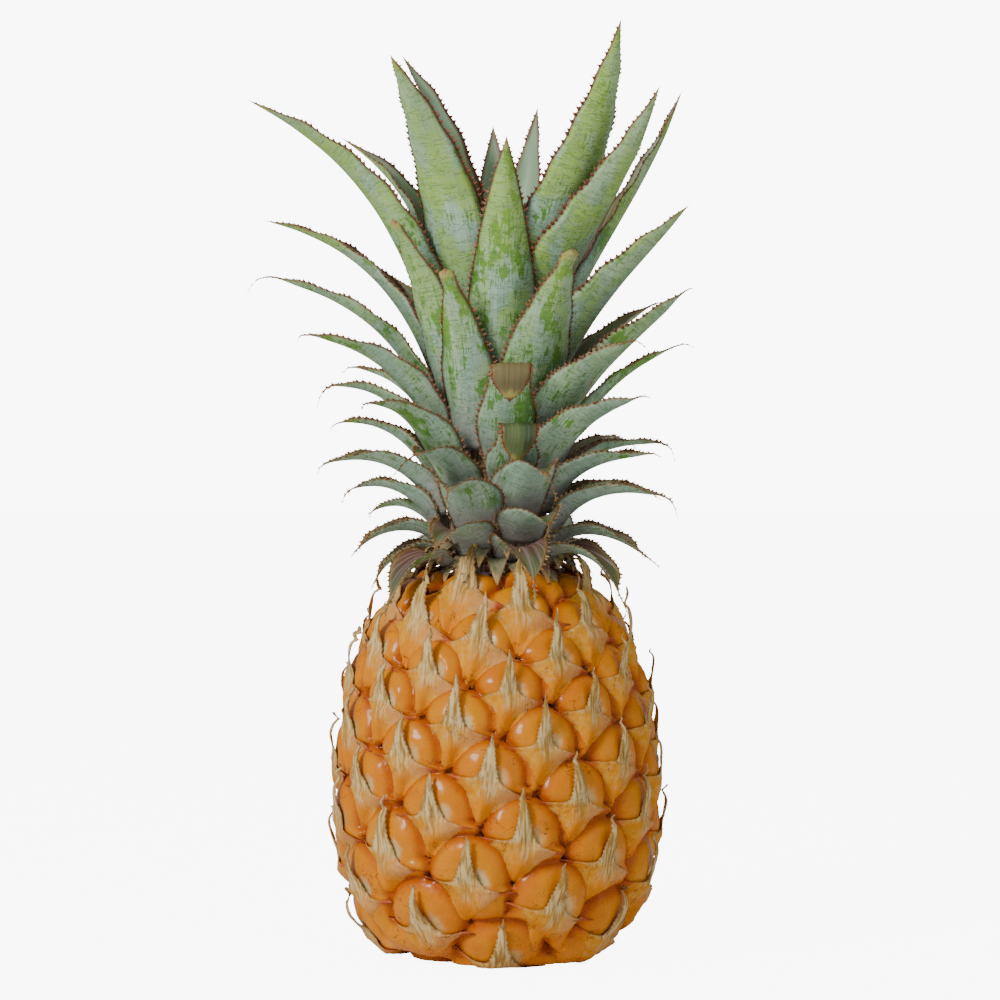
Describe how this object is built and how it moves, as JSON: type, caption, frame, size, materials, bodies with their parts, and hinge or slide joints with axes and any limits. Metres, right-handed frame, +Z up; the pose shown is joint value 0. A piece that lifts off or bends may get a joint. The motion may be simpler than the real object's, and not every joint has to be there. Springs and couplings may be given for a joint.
{
  "type": "whole pineapple with crown",
  "caption": "Small ripe golden pineapple, whole, with its spiny blue-green crown, standing upright on its cut stalk.",
  "frame": {"origin": "middle of the cut stalk's face, on the surface that the fruit stands on", "axes": "+Z up the fruit's axis to the crown, -Y the side seen from the front, +X to the right of that view"},
  "size_m": [0.1466, 0.1117, 0.3148],
  "materials": {
    "rind": "waxy golden skin, glossy on the bulges, with papery bract tips",
    "leaf": "matt blue-green bloom, rubbed green in places, thin red-brown spiny edges",
    "stalk": "dry dark cut fibre",
    "stem": "pale fibrous stem, dark and dry where it meets the fruit"
  },
  "bodies": {
    "root": {"fruit": "rind", "cut_stalk": "stalk", "crown_stem": "stem", "leaf_01": "leaf", "leaf_02": "leaf", "leaf_03": "leaf", "leaf_04": "leaf", "leaf_05": "leaf", "leaf_06": "leaf", "leaf_07": "leaf", "leaf_08": "leaf", "leaf_09": "leaf", "leaf_10": "leaf", "leaf_11": "leaf", "leaf_12": "leaf", "leaf_13": "leaf", "leaf_14": "leaf", "leaf_15": "leaf", "leaf_16": "leaf", "leaf_17": "leaf", "leaf_18": "leaf", "leaf_19": "leaf", "leaf_20": "leaf", "leaf_21": "leaf", "leaf_22": "leaf", "leaf_23": "leaf", "leaf_24": "leaf", "leaf_25": "leaf", "leaf_26": "leaf", "leaf_27": "leaf", "leaf_28": "leaf", "leaf_29": "leaf", "leaf_30": "leaf", "leaf_31": "leaf", "leaf_32": "leaf", "leaf_33": "leaf", "leaf_34": "leaf", "leaf_35": "leaf", "leaf_36": "leaf", "leaf_37": "leaf", "leaf_38": "leaf", "leaf_39": "leaf", "leaf_40": "leaf", "leaf_41": "leaf", "leaf_42": "leaf", "leaf_43": "leaf", "leaf_44": "leaf", "leaf_45": "leaf", "leaf_46": "leaf", "leaf_47": "leaf", "leaf_48": "leaf", "leaf_49": "leaf", "leaf_50": "leaf", "leaf_51": "leaf", "leaf_52": "leaf", "leaf_53": "leaf", "leaf_54": "leaf", "leaf_55": "leaf", "leaf_56": "leaf", "leaf_57": "leaf"}
  },
  "joints": []
}
